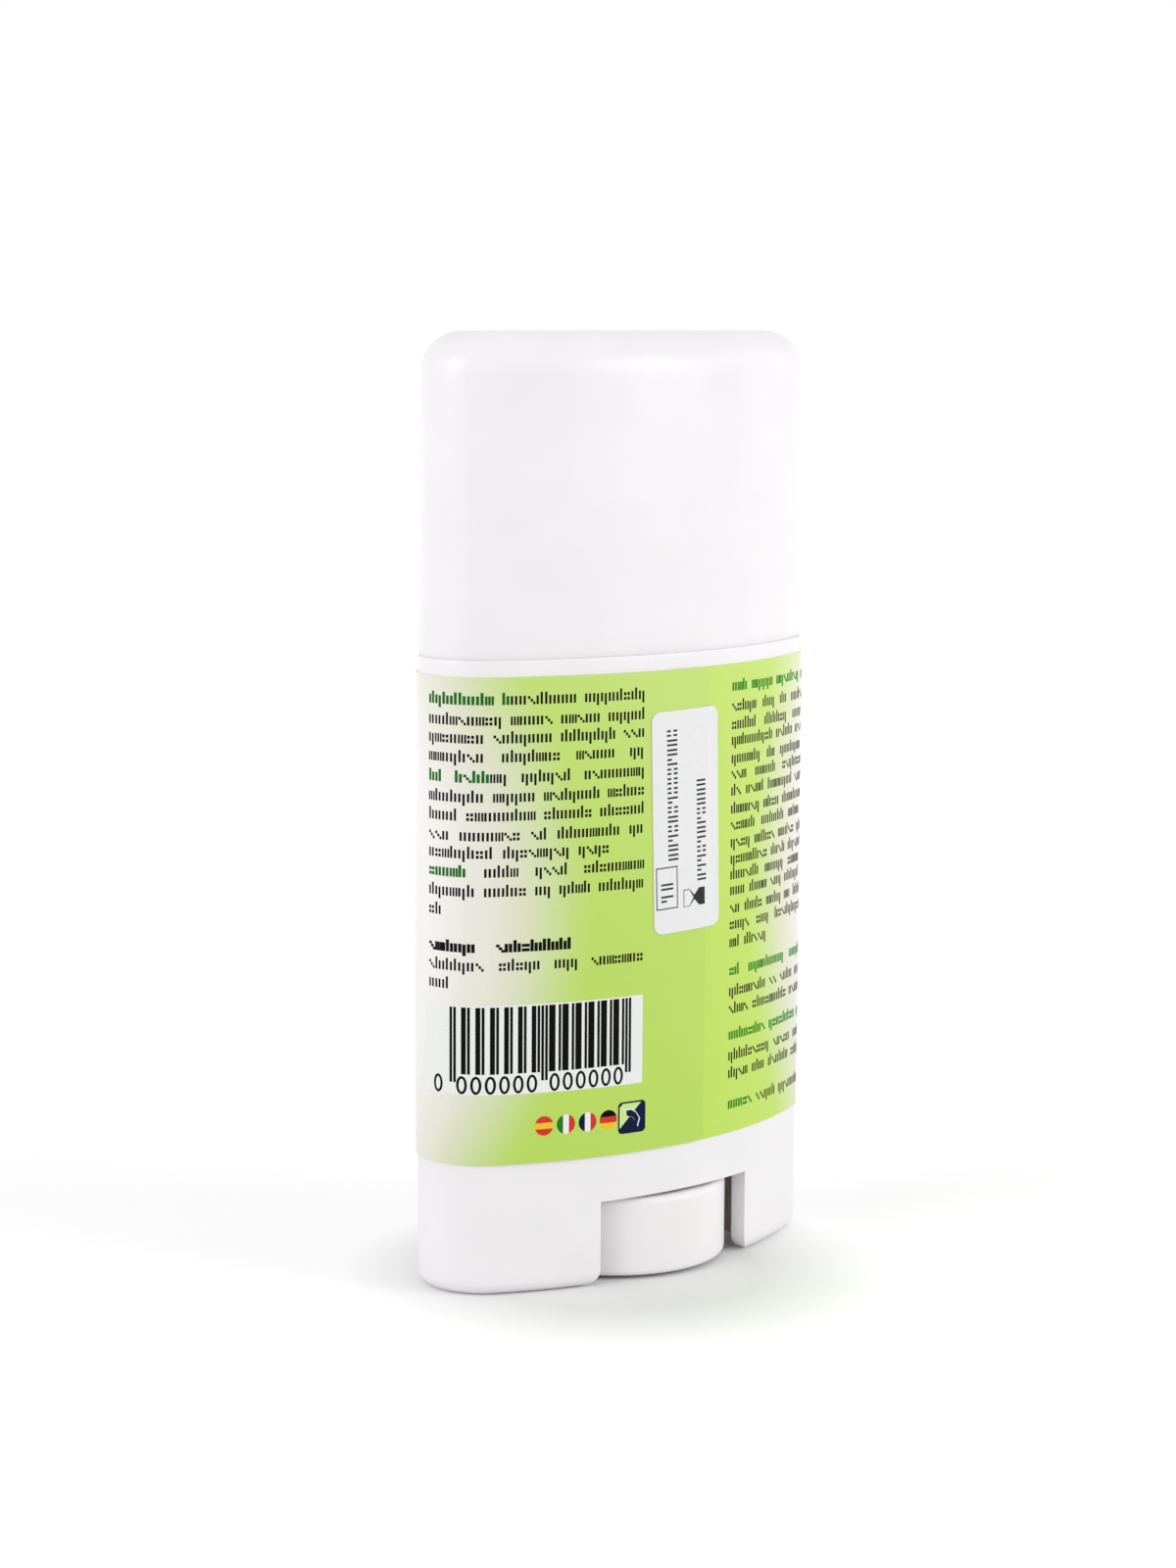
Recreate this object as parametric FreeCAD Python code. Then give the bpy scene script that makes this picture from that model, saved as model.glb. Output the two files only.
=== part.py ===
"""Twist-up stick container: an oval barrel and cap, a dial wheel and screw, a carrier and its stick.

Millimetres, +Z up, origin in the middle of the base. X is the width, and the photographed face is -Y.
"""
import FreeCAD, Part
import math
import os

from FreeCAD import Vector

# The oval outline that the barrel, the cap and everything in them share
barrel_width = 62.0
barrel_depth = 28.0
end_radius = 8.4

# Heights above the table
overall_height = 123.5
shoulder_height = 82.4
label_bottom = 17.4
label_top = 80.3
notch_height = 11.3

# Barrel
barrel_wall = 2.5
floor_thickness = 2.0
foot_edge_radius = 1.8
seam_edge_radius = 0.25
notch_width = 25.8
notch_foot_radius = 2.3
web_thickness = 1.2
web_rise = 1.0
neck_height = 12.0
neck_sunk = 2.0
bead_proud = 0.2
bead_height = 1.4
bead_drop = 4.0

# Cap
cap_wall = 1.2
cap_roof = 1.5
cap_draft = 0.45
cap_edge_radius = 5.2
cap_neck_clearance = 0.3
cap_seat_gap = 0.15

# Dial wheel
wheel_proud = 1.25
wheel_table_gap = 0.5
wheel_floor_gap = 0.4
wheel_rim = 2.0
wheel_face = 1.6
wheel_side_gap = 1.0
wheel_edge_radius = 0.8
wheel_hub_radius = 4.6
wheel_rib_count = 6
wheel_rib_thickness = 1.2
wheel_rib_height = 5.0

# Screw spindle
thread_pitch = 4.0
full_turns = 17
thread_crest_radius = 3.5
thread_root_radius = 2.4
thread_crest_width = 0.9
thread_root_width = 1.7
thread_clearance = 0.25
thread_run_out = 1.0
thread_sunk = 0.4
journal_radius = 3.0
journal_clearance = 0.15
flange_radius = 6.0
flange_thickness = 1.5
flange_gap = 0.2
drive_square = 4.2

# Elevator, the carrier that climbs the screw
elevator_rest_gap = 0.5
elevator_clearance = 0.3
elevator_plate = 1.6
elevator_rim_height = 7.0
elevator_rim_wall = 1.2
elevator_hub_radius = 6.0
nut_length = 7.0
nut_lug_count = 3
nut_lug_length = 2.4
nut_lug_height = 1.4
elevator_rib_thickness = 1.2
elevator_rib_height = 3.5

# The stick itself
stick_height_over_neck = 5.6
stick_side_clearance = 0.5
stick_edge_radius = 5.0
stick_screw_clearance = 0.7
stick_carrier_clearance = 0.1
screw_end_clearance = 1.0

# Labels, laid one on the other
label_thickness = 0.12
glue_gap = 0.02
label_butt_gap = 0.4
label_butt_from_leaf_edge = 6.0
leaf_edge_x = 3.6
leaf_back_x = -27.0
leaf_corner_radius = 1.0
sticker_left = -5.7
sticker_right = 6.1
sticker_bottom = 45.7
sticker_top = 75.0
sticker_corner_radius = 1.0

# Places worked out from the sizes above
floor_top = notch_height + floor_thickness
neck_top = shoulder_height + neck_height
neck_inset = cap_wall + cap_neck_clearance
bead_middle = neck_top - bead_drop
cap_bottom = shoulder_height + cap_seat_gap
wheel_radius = barrel_depth / 2 + wheel_proud
wheel_top = notch_height - wheel_floor_gap
flange_bottom = floor_top + flange_gap
flange_top = flange_bottom + flange_thickness
thread_start = flange_top + thread_run_out
elevator_bottom = flange_top + elevator_rest_gap
elevator_top = elevator_bottom + elevator_plate
elevator_rim_top = elevator_bottom + elevator_rim_height
nut_top = elevator_bottom + nut_length
stick_travel = full_turns * thread_pitch
screw_top = nut_top + stick_travel + 2 * thread_run_out
stick_top = neck_top + stick_height_over_neck
bore_reach = barrel_width + barrel_depth


def oval_wire(inset, height):
    """The oval outline drawn `inset` inside the barrel's outer face, from four tangent arcs."""
    end_centre = barrel_width / 2 - end_radius
    half_depth = barrel_depth / 2
    side_radius = (end_centre ** 2 + half_depth ** 2 - end_radius ** 2) / (2 * (half_depth - end_radius))
    side_centre = side_radius - half_depth
    turn = math.atan2(side_centre, end_centre)
    radius = end_radius - inset
    corner_x = end_centre + radius * math.cos(turn)
    corner_y = radius * math.sin(turn)
    tip_x = end_centre + radius
    tip_y = half_depth - inset

    def arc(*points):
        return Part.Arc(*[Vector(x, y, height) for x, y in points]).toShape()

    return Part.Wire([
        arc((corner_x, -corner_y), (tip_x, 0), (corner_x, corner_y)),
        arc((corner_x, corner_y), (0, tip_y), (-corner_x, corner_y)),
        arc((-corner_x, corner_y), (-tip_x, 0), (-corner_x, -corner_y)),
        arc((-corner_x, -corner_y), (0, -tip_y), (corner_x, -corner_y)),
    ])


def oval_block(inset, bottom, top):
    """A straight oval block."""
    return Part.Face(oval_wire(inset, bottom)).extrude(Vector(0, 0, top - bottom))


def oval_taper(bottom_inset, bottom, top_inset, top):
    """An oval block whose walls lean in from one inset to another."""
    return Part.makeLoft([oval_wire(bottom_inset, bottom), oval_wire(top_inset, top)], True, True)


def oval_tube(outer_inset, inner_inset, bottom, top):
    """A straight oval wall."""
    return oval_block(outer_inset, bottom, top).cut(oval_block(inner_inset, bottom, top))


def level_edges(shape, height):
    """The edges that lie flat at one height."""
    return [edge for edge in shape.Edges
            if abs(edge.BoundBox.ZMin - height) < 1e-4 and abs(edge.BoundBox.ZMax - height) < 1e-4]


def rounded_rim(shape, height, radius):
    """The shape with its level edges at one height rounded."""
    return shape.makeFillet(radius, level_edges(shape, height))


def centred_box(width, depth, bottom, top, x=0.0, y=0.0):
    """An upright box centred on x and y."""
    corner = Vector(x - width / 2, y - depth / 2, bottom)
    return Part.makeBox(width, depth, top - bottom, corner)


def cylinder(radius, bottom, top):
    """An upright cylinder on the screw's axis."""
    return Part.makeCylinder(radius, top - bottom, Vector(0, 0, bottom))


def screw_ridge():
    """The screw's right-hand helical ridge, with its foot sunk into the core."""
    foot = thread_root_radius - thread_sunk
    crest_half = thread_crest_width / 2
    slope = (thread_root_width - thread_crest_width) / 2 / (thread_crest_radius - thread_root_radius)
    foot_half = crest_half + slope * (thread_crest_radius - foot)
    section = Part.makePolygon([
        Vector(foot, 0, thread_start - foot_half),
        Vector(thread_crest_radius, 0, thread_start - crest_half),
        Vector(thread_crest_radius, 0, thread_start + crest_half),
        Vector(foot, 0, thread_start + foot_half),
        Vector(foot, 0, thread_start - foot_half),
    ])
    path = Part.makeHelix(thread_pitch, screw_top - thread_run_out - thread_start, thread_crest_radius)
    path.translate(Vector(0, 0, thread_start))
    return Part.Wire(path.Edges).makePipeShell([section], True, True)


def nut_lug(index):
    """One of the lugs in the carrier's hub that run in the screw's groove, at the groove's own slope."""
    inner = thread_root_radius + thread_clearance
    reach = thread_crest_radius + thread_clearance + thread_sunk - inner
    turn = index / nut_lug_count
    lug = Part.makeBox(reach, nut_lug_length, nut_lug_height,
                       Vector(inner, -nut_lug_length / 2, -nut_lug_height / 2))
    slope = math.degrees(math.atan2(thread_pitch, 2 * math.pi * (inner + reach / 2)))
    lug.rotate(Vector(0, 0, 0), Vector(1, 0, 0), slope)
    lug.translate(Vector(0, 0, thread_start + thread_pitch * (0.5 + turn)))
    lug.rotate(Vector(0, 0, 0), Vector(0, 0, 1), 360 * turn)
    return lug


def notch_cutter():
    """The arch through the foot for the wheel: square at its top, flared round at the table."""
    half = notch_width / 2
    flare = notch_foot_radius
    reach = barrel_depth
    bend = flare * math.cos(math.pi / 4)

    def spot(x, z):
        return Vector(x, -reach, z)

    def line(start, end):
        return Part.LineSegment(start, end).toShape()

    def flare_arc(side):
        middle = spot(side * (half + flare - bend), flare - bend)
        return Part.Arc(spot(side * half, flare), middle, spot(side * (half + flare), 0)).toShape()

    outline = Part.Wire([
        line(spot(-half, flare), spot(-half, notch_height)),
        line(spot(-half, notch_height), spot(half, notch_height)),
        line(spot(half, notch_height), spot(half, flare)),
        flare_arc(1),
        line(spot(half + flare, 0), spot(-half - flare, 0)),
        flare_arc(-1),
    ])
    return Part.Face(outline).extrude(Vector(0, 2 * reach, 0))


def barrel():
    """The oval container: open foot, floor with the screw's bearing, bore, shoulder and neck."""
    body = rounded_rim(oval_block(0, 0, shoulder_height), 0, foot_edge_radius)
    body = rounded_rim(body, shoulder_height, seam_edge_radius)
    body = body.cut(notch_cutter())
    body = body.fuse(oval_block(neck_inset, shoulder_height - neck_sunk, neck_top))
    bead_inset = neck_inset - bead_proud
    body = body.fuse(oval_taper(neck_inset, bead_middle - bead_height / 2, bead_inset, bead_middle))
    body = body.fuse(oval_taper(bead_inset, bead_middle, neck_inset, bead_middle + bead_height / 2))
    foot_space = oval_block(barrel_wall, 0, notch_height)
    web_inner = wheel_radius + wheel_side_gap
    for side in (-1, 1):
        web = centred_box(web_thickness, barrel_depth, web_rise, notch_height,
                          x=side * (web_inner + web_thickness / 2))
        foot_space = foot_space.cut(web)
    body = body.cut(foot_space)
    body = body.cut(oval_block(barrel_wall, floor_top, neck_top))
    body = body.cut(cylinder(journal_radius + journal_clearance, notch_height, floor_top))
    return body.removeSplitter()


def cap():
    """The pull-off cap: one thin oval shell with a soft rounded top."""
    outer = oval_taper(0, cap_bottom, cap_draft, overall_height)
    outer = rounded_rim(outer, overall_height, cap_edge_radius)
    outer = rounded_rim(outer, cap_bottom, seam_edge_radius)
    roof_under = overall_height - cap_roof
    inner = oval_taper(cap_wall, cap_bottom, cap_wall + cap_draft, roof_under)
    inner = rounded_rim(inner, roof_under, cap_edge_radius - cap_wall)
    return outer.cut(inner)


def dial_wheel():
    """The wheel in the foot: a smooth closed face and rim, with a ribbed hub on the screw's square."""
    wheel = cylinder(wheel_radius, wheel_table_gap, wheel_top)
    wheel = rounded_rim(wheel, wheel_table_gap, wheel_edge_radius)
    wheel = rounded_rim(wheel, wheel_top, wheel_edge_radius)
    face_top = wheel_table_gap + wheel_face
    wheel = wheel.cut(cylinder(wheel_radius - wheel_rim, face_top, wheel_top))
    ribs = cylinder(wheel_hub_radius, face_top, wheel_top)
    for index in range(wheel_rib_count):
        rib = Part.makeBox(wheel_radius - wheel_rim / 2, wheel_rib_thickness, wheel_rib_height,
                           Vector(0, -wheel_rib_thickness / 2, face_top))
        rib.rotate(Vector(0, 0, 0), Vector(0, 0, 1), 360 / wheel_rib_count * (index + 0.5))
        ribs = ribs.fuse(rib)
    wheel = wheel.fuse(ribs)
    return wheel.cut(centred_box(drive_square, drive_square, face_top, wheel_top)).removeSplitter()


def screw_spindle():
    """The spindle: square drive in the wheel, journal in the floor, flange, and the long screw."""
    spindle = centred_box(drive_square, drive_square, wheel_table_gap + wheel_face, notch_height)
    spindle = spindle.fuse(cylinder(journal_radius, wheel_top, flange_bottom))
    spindle = spindle.fuse(cylinder(flange_radius, flange_bottom, flange_top))
    spindle = spindle.fuse(cylinder(thread_root_radius, flange_top, screw_top))
    return spindle.fuse(screw_ridge())


def rib_blocks(thickness, bottom, top):
    """The carrier's crossed ribs, or with more thickness the slots that they leave in the stick."""
    along = centred_box(barrel_width, thickness, bottom, top)
    across = centred_box(thickness, barrel_depth, bottom, top)
    return along.fuse(across)


def elevator():
    """The carrier: an oval dish with crossed ribs, and a hub whose three lugs climb the screw."""
    tray = oval_block(barrel_wall + elevator_clearance, elevator_bottom, elevator_rim_top)
    hollow = oval_block(barrel_wall + elevator_clearance + elevator_rim_wall, elevator_top, elevator_rim_top)
    ribs = rib_blocks(elevator_rib_thickness, elevator_top, elevator_top + elevator_rib_height)
    ribs = ribs.fuse(cylinder(elevator_hub_radius, elevator_top, nut_top))
    tray = tray.cut(hollow.cut(ribs))
    tray = tray.cut(cylinder(thread_crest_radius + thread_clearance, elevator_bottom, nut_top))
    for index in range(nut_lug_count):
        tray = tray.fuse(nut_lug(index))
    return tray


def deodorant_stick():
    """The stick: cast round the carrier's hub and ribs, with the screw's clearance up its middle."""
    stick = oval_block(barrel_wall + stick_side_clearance, elevator_rim_top, stick_top)
    stick = rounded_rim(stick, stick_top, stick_edge_radius)
    foot_inset = barrel_wall + elevator_clearance + elevator_rim_wall + stick_carrier_clearance
    stick = stick.fuse(oval_block(foot_inset, elevator_top, elevator_rim_top))
    gap = stick_carrier_clearance
    stick = stick.cut(cylinder(elevator_hub_radius + gap, elevator_top, nut_top + gap))
    stick = stick.cut(cylinder(thread_crest_radius + stick_screw_clearance, elevator_top,
                               screw_top + screw_end_clearance))
    slots = rib_blocks(elevator_rib_thickness + 2 * gap, elevator_top, elevator_top + elevator_rib_height)
    return stick.cut(slots)


def label_layer(layer):
    """The closed sheet that one label layer is cut from; layer 0 is the one on the barrel."""
    inner = -(glue_gap + layer * (label_thickness + glue_gap))
    return oval_tube(inner - label_thickness, inner, label_bottom, label_top)


def front_window(left, right, bottom, top, corner_radius):
    """A rounded rectangle in front view, from the middle plane out past the photographed face."""
    window = Part.makeBox(right - left, barrel_depth, top - bottom, Vector(left, -barrel_depth, bottom))
    depth_edges = [edge for edge in window.Edges if edge.BoundBox.YLength > barrel_depth / 2]
    return window.makeFillet(corner_radius, depth_edges)


def label_base():
    """The wrap label on the barrel, whose ends meet under the leaf."""
    butt_x = leaf_edge_x - label_butt_from_leaf_edge
    butt = centred_box(label_butt_gap, barrel_depth, label_bottom, label_top, x=butt_x, y=-barrel_depth / 2)
    return label_layer(0).cut(butt)


def label_leaf():
    """The peel-up leaf: from its free edge on the photographed face, round the left end to its hinge."""
    front = front_window(-bore_reach, leaf_edge_x, label_bottom, label_top, leaf_corner_radius)
    back = Part.makeBox(bore_reach + leaf_back_x, barrel_depth, label_top - label_bottom,
                        Vector(-bore_reach, 0, label_bottom))
    return label_layer(1).common(front.fuse(back))


def lot_sticker():
    """The small sticker that holds the leaf's free edge down."""
    window = front_window(sticker_left, sticker_right, sticker_bottom, sticker_top, sticker_corner_radius)
    return label_layer(2).common(window)


PIECES = (barrel, cap, dial_wheel, screw_spindle, elevator, deodorant_stick,
          label_base, label_leaf, lot_sticker)


def main():
    os.makedirs("parts", exist_ok=True)
    for make in PIECES:
        shape = make()
        solid = shape.Solids[0]
        solid.exportStep("parts/" + make.__name__ + ".step")
        box = solid.BoundBox
        print(make.__name__, "solids", len(shape.Solids), "valid", solid.isValid(),
              "volume", round(solid.Volume, 2), "z", round(box.ZMin, 3), "to", round(box.ZMax, 3),
              "x", round(box.XMin, 3), "to", round(box.XMax, 3),
              "y", round(box.YMin, 3), "to", round(box.YMax, 3))


main()
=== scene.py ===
# %% [markdown]
# # A twist-up stick container
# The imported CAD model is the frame. Each visible form is modelled again here as a finer, smoother mesh in
# the same place, rides on the same body, and gets a finish made of shader nodes. Sizes are written in
# millimetres, as on a moulder's drawing, and each mesh is shrunk to metres as it is finished.

# %% Load the frame
import math
import random

import bmesh
import bpy
from mathutils import Matrix, Vector


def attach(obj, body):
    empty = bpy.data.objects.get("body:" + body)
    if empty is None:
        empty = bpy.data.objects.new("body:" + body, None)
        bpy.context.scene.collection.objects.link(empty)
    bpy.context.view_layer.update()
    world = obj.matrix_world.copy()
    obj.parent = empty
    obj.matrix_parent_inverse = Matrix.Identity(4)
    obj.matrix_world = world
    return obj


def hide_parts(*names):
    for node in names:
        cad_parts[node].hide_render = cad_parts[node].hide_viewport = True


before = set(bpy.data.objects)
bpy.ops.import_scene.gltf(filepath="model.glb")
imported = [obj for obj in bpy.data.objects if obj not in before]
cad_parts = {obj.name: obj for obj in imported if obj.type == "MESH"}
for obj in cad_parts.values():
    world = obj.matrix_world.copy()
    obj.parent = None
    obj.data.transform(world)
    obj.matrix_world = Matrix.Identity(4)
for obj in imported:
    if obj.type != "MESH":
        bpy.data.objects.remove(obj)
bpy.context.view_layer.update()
MM = 0.001

# %% [markdown]
# ## The oval
# The container's plan is four arcs that meet smoothly: two wide ones for the faces and two tight ones for
# the ends. Every other oval on it is the same plan with all four radii smaller by one inset, so the whole
# object is drawn from one helper. A point is spun through the four arcs in turn, which gives an even loop.

# %% Oval loops
HALF_WIDTH = 31.0
HALF_DEPTH = 14.0
END_RADIUS = 8.4
END_CENTRE = HALF_WIDTH - END_RADIUS
SIDE_RADIUS = (END_CENTRE ** 2 + HALF_DEPTH ** 2 - END_RADIUS ** 2) / (2 * (HALF_DEPTH - END_RADIUS))
SIDE_CENTRE = SIDE_RADIUS - HALF_DEPTH
SIDE_TURN = math.atan2(END_CENTRE, SIDE_CENTRE)
END_TURN = math.pi - 2 * SIDE_TURN
SIDE_STEPS = 28
END_STEPS = 24
LOOP_POINTS = 2 * (SIDE_STEPS + END_STEPS)
UP = (0, 0, 1)


def oval_loop(bm, inset, height):
    """The edges of one level oval, `inset` inside the barrel's outer face."""
    known = set(bm.edges)
    radius = END_RADIUS - inset
    start = Vector((END_CENTRE + radius * math.sin(SIDE_TURN), -radius * math.cos(SIDE_TURN), height))
    arcs = (
        (END_CENTRE, 0, END_TURN, END_STEPS),
        (0, -SIDE_CENTRE, 2 * SIDE_TURN, SIDE_STEPS),
        (-END_CENTRE, 0, END_TURN, END_STEPS),
        (0, SIDE_CENTRE, 2 * SIDE_TURN, SIDE_STEPS),
    )
    first = last = bm.verts.new(start)
    for x, y, turn, steps in arcs:
        made = bmesh.ops.spin(bm, geom=[last], cent=(x, y, height), axis=UP, angle=turn, steps=steps)
        last = made["geom_last"][0]
    bmesh.ops.weld_verts(bm, targetmap={last: first})
    return [edge for edge in bm.edges if edge not in known]


def round_loop(bm, radius, height):
    """The edges of one level circle about the upright axis, with as many points as an oval."""
    known = set(bm.edges)
    place = Matrix.Translation((0, 0, height))
    bmesh.ops.create_circle(bm, segments=LOOP_POINTS, radius=radius, matrix=place)
    return [edge for edge in bm.edges if edge not in known]


def skin(bm, loops):
    """Faces from each loop to the next."""
    for lower, upper in zip(loops, loops[1:]):
        bmesh.ops.bridge_loops(bm, edges=lower + upper)


def round_over(bm, loop, radius, segments):
    """Rounds the sharp edges that run along a loop."""
    bmesh.ops.bevel(bm, geom=loop, offset=radius, offset_type="OFFSET", affect="EDGES",
                    segments=segments, profile=0.5, material=-1)


print("oval: side radius", round(SIDE_RADIUS, 2), "side turn", round(math.degrees(SIDE_TURN), 2))

# %% [markdown]
# ## Finishing a mesh
# A moulding is smooth except where two faces meet at a real corner. One helper points all faces outwards.
# The next smooths them, marks the edges that turn sharply, shrinks millimetres to metres, and puts the
# object on the body that carries it. A unit cube or grid is set in place by one matrix.

# %% Piece helper
SHARP_TURN = math.radians(28)


def set_at(spot, size):
    """The matrix that carries a shape of unit size to a spot and stretches it to a size."""
    return Matrix.Translation(spot) @ Matrix.Diagonal((*size, 1))


def mesh_of(bm, name):
    """The bmesh as a mesh. The bmesh itself is let go."""
    mesh = bpy.data.meshes.new(name)
    bm.to_mesh(mesh)
    bm.free()
    return mesh


def set_out(name, data):
    """A new object in the scene: a mesh, a lamp or a camera."""
    made = bpy.data.objects.new(name, data)
    bpy.context.scene.collection.objects.link(made)
    return made


def mark_sharp_edges(bm):
    """Smooth faces, with each edge that turns past the limit kept crisp."""
    for face in bm.faces:
        face.smooth = True
    for edge in bm.edges:
        if len(edge.link_faces) == 2:
            edge.smooth = edge.calc_face_angle(0.0) < SHARP_TURN


def finish_piece(bm, name, body, finishes):
    """Makes the bmesh an object in metres, on its body and in its material slot."""
    mark_sharp_edges(bm)
    bmesh.ops.scale(bm, vec=(MM, MM, MM), verts=bm.verts)
    mesh = mesh_of(bm, name)
    for finish in finishes:
        mesh.materials.append(finish)
    piece = set_out(name, mesh)
    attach(piece, body)
    print(name, "on", body, "faces", len(mesh.polygons))
    return piece


def close_up(bm):
    """Merges doubled points and turns every face outwards."""
    bmesh.ops.remove_doubles(bm, verts=bm.verts, dist=1e-4)
    bmesh.ops.recalc_face_normals(bm, faces=bm.faces)


print("edges that turn past", round(math.degrees(SHARP_TURN)), "degrees stay crisp")

# %% [markdown]
# ## Colour and shader nodes
# A chart colour is a number from 0 to 255, and a shader wants linear light, so one helper turns one into
# the other. A second helper makes a node and fills or links its sockets, so that a material reads as a
# short list of steps.

# %% Material helpers
def chart(red, green, blue):
    """A linear shader colour from chart values of 0 to 255."""
    parts = []
    for value in (red, green, blue):
        value = value / 255
        parts.append(value / 12.92 if value <= 0.04045 else ((value + 0.055) / 1.055) ** 2.4)
    return (parts[0], parts[1], parts[2], 1.0)


def step(tree, kind, sockets=None, **settings):
    """One node of a material, with its settings made and its sockets filled or linked."""
    made = tree.nodes.new("ShaderNode" + kind)
    for key, value in settings.items():
        setattr(made, key, value)
    for socket, value in (sockets or {}).items():
        if isinstance(value, bpy.types.NodeSocket):
            tree.links.new(value, made.inputs[socket])
        else:
            made.inputs[socket].default_value = value
    return made


def sums(tree, operation, first, second=0.0):
    """The output of one Math node."""
    return step(tree, "Math", {0: first, 1: second}, operation=operation).outputs[0]


def blend_colours(tree, share, first, second):
    """The output of one colour mix."""
    mix = step(tree, "Mix", {0: share, 6: first, 7: second}, data_type="RGBA")
    return mix.outputs[2]


def start_material(name):
    """A new material with its tree emptied, and its output node."""
    material = bpy.data.materials.new(name)
    material.use_nodes = True
    material.node_tree.nodes.clear()
    output = step(material.node_tree, "OutputMaterial")
    return material, material.node_tree, output


def principled(tree, output, sockets):
    """Ends a material in one Principled shader."""
    shader = step(tree, "BsdfPrincipled", sockets)
    tree.links.new(shader.outputs[0], output.inputs[0])


def grain(tree, scale, detail=3.0, rough=0.55):
    """Noise over the piece itself, in a scale of features per metre."""
    place = step(tree, "TexCoord").outputs["Object"]
    noise = step(tree, "TexNoise", {"Vector": place, "Scale": scale, "Detail": detail, "Roughness": rough})
    return noise.outputs["Fac"]


def spread(tree, value, low, high, start=0.3, end=0.7):
    """A value mapped from its usual spread to the range that a socket wants."""
    sockets = {"Value": value, "From Min": start, "From Max": end, "To Min": low, "To Max": high}
    return step(tree, "MapRange", sockets).outputs["Result"]


def bumps(tree, height, strength, distance):
    """A normal from a height."""
    sockets = {"Height": height, "Strength": strength, "Distance": distance}
    return step(tree, "Bump", sockets).outputs["Normal"]


print("white on the chart is", [round(part, 3) for part in chart(236, 236, 236)])

# %% [markdown]
# ## Moulded white plastic
# The cap, the barrel and the wheel are white polypropylene. It is never one flat white: the colour clouds
# very slightly where the melt cooled at different speeds, the polish of the mould leaves the gloss uneven,
# and the surface has a faint orange peel. Three noises of different size give these. The inside of the
# foot is painted a warmer white, a painted glow that stands in for light that has been through the walls.

# %% Plastic finishes
def moulded_plastic(name, light, dark, gloss_low, gloss_high, peel):
    material, tree, output = start_material(name)
    clouds = spread(tree, grain(tree, 90.0, 2.0), 0.0, 1.0)
    colour = blend_colours(tree, clouds, dark, light)
    roughness = spread(tree, grain(tree, 420.0, 4.0), gloss_low, gloss_high)
    surface = bumps(tree, grain(tree, 1400.0, 2.0), peel, 0.00002)
    sockets = {"Base Color": colour, "Roughness": roughness, "Normal": surface, "IOR": 1.49}
    principled(tree, output, sockets)
    return material


CAP_WHITE = moulded_plastic("cap_white", chart(239, 237, 239), chart(235, 233, 235), 0.30, 0.38, 0.12)
# Painted glow: a warmer white for the inside faces, standing in for light that comes through the walls.
INSIDE_PAINTED_GLOW = moulded_plastic("inside_painted_glow", chart(246, 233, 214), chart(241, 227, 206), 0.45, 0.58, 0.2)
BARREL_WHITE = moulded_plastic("barrel_white", chart(239, 237, 239), chart(235, 233, 235), 0.32, 0.42, 0.14)
WHEEL_WHITE = moulded_plastic("wheel_white", chart(239, 237, 238), chart(235, 233, 234), 0.34, 0.44, 0.16)
NATURAL_WHITE = moulded_plastic("natural_white", chart(228, 228, 222), chart(221, 222, 216), 0.45, 0.58, 0.3)
print("plastics", CAP_WHITE.name, BARREL_WHITE.name, WHEEL_WHITE.name, NATURAL_WHITE.name)

# %% [markdown]
# ## The cap
# The cap is one thin moulding, pulled straight off the mould's core, so its walls lean in a little towards
# the top. It could be a solidified skin, but the corner outside is rounder than the corner inside, so one
# chain of loops runs up the outside and down the inside, and each corner is rounded by its own radius.

# %% Cap
CAP_BOTTOM = 82.42
CAP_TOP = 123.5
CAP_ROOF = 122.0
CAP_WALL = 1.2
CAP_LEAN = 0.45
CAP_CORNER = 5.2
CAP_FLAT = 6.2
ROOF_CORNER = 4.0
ROOF_FLAT = 6.0
EDGE_TURN_IN = 0.24


def lean_at(height):
    """How far the cap's wall has leaned in at a height."""
    return CAP_LEAN * (height - CAP_BOTTOM) / (CAP_TOP - CAP_BOTTOM)


def cap_outside(bm):
    """Loops up the outer wall, from its turned-in lower edge, and onto the top."""
    loops = [oval_loop(bm, EDGE_TURN_IN, CAP_BOTTOM), oval_loop(bm, EDGE_TURN_IN / 3, CAP_BOTTOM + 0.4)]
    heights = (83.3, 86, 92, 99, 106, 112, 116, 117.6, CAP_TOP)
    loops += [oval_loop(bm, lean_at(height), height) for height in heights]
    loops.append(oval_loop(bm, CAP_FLAT, CAP_TOP))
    return loops


def cap_inside(bm):
    """Loops up the inner wall and onto the underside of the roof."""
    heights = (CAP_BOTTOM, 84, 92, 100, 108, 115, 117.3, CAP_ROOF)
    loops = [oval_loop(bm, CAP_WALL + lean_at(height), height) for height in heights]
    loops.append(oval_loop(bm, ROOF_FLAT, CAP_ROOF))
    return loops


def make_cap():
    bm = bmesh.new()
    outside = cap_outside(bm)
    inside = cap_inside(bm)
    skin(bm, list(reversed(outside)) + inside)
    for ring in (outside[-1], inside[-1]):
        bmesh.ops.edgeloop_fill(bm, edges=ring)
    round_over(bm, outside[-2], CAP_CORNER, 18)
    round_over(bm, inside[-2], ROOF_CORNER, 10)
    close_up(bm)
    piece = finish_piece(bm, "cap_moulding", "cap", [CAP_WHITE])
    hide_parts("cap")


make_cap()

# %% [markdown]
# ## The barrel
# The barrel is one moulding too: an open foot, a floor with the screw's bearing, a tall bore, a shoulder
# and a neck with a snap bead. One closed chain of loops goes once round its whole section. Where the chain
# runs level from an oval to a circle, the bridge between them can come out twisted, so each such floor or
# roof is dished by a hair, which gives the bridge a side to keep to.

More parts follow.
